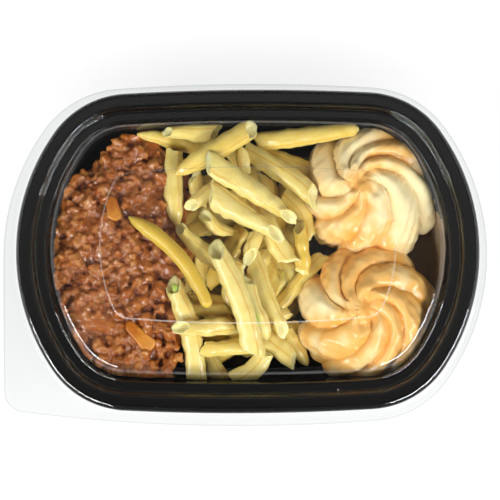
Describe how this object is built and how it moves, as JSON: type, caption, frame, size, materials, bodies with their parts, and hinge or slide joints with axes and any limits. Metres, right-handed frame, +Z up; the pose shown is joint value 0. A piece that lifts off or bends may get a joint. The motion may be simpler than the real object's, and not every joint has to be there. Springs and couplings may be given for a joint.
{
  "type": "tray ready meal with clear lid",
  "caption": "Ready meal of minced meat in sauce, cut wax beans and piped mashed potato in a black oval tray, shut by a clear dome lid that clips over the rim and has a pull tab.",
  "frame": {"origin": "middle of the tray's flat base", "axes": "+X along the tray's long side, towards the mash; +Z up out of the tray; +Y away from the side with the lid's pull tab"},
  "size_m": [0.2296, 0.1638, 0.0547],
  "materials": {
    "black_plastic": "thermoformed black polypropylene, glossy",
    "clear_plastic": "clear thin sheet, glossy",
    "minced_meat": "crumbs of meat wet with brown sauce",
    "wax_bean": "cooked skin, moist satin",
    "mashed_potato": "smooth piped mash, partly coated with sauce",
    "carrot": "cooked slice, moist satin"
  },
  "bodies": {
    "root": {"tray": "black_plastic", "lid": "clear_plastic", "mince": "minced_meat", "beans": "wax_bean", "mash_rosette_back": "mashed_potato", "mash_rosette_front": "mashed_potato", "carrot_strip_front": "carrot", "carrot_strip_back": "carrot"}
  },
  "joints": []
}
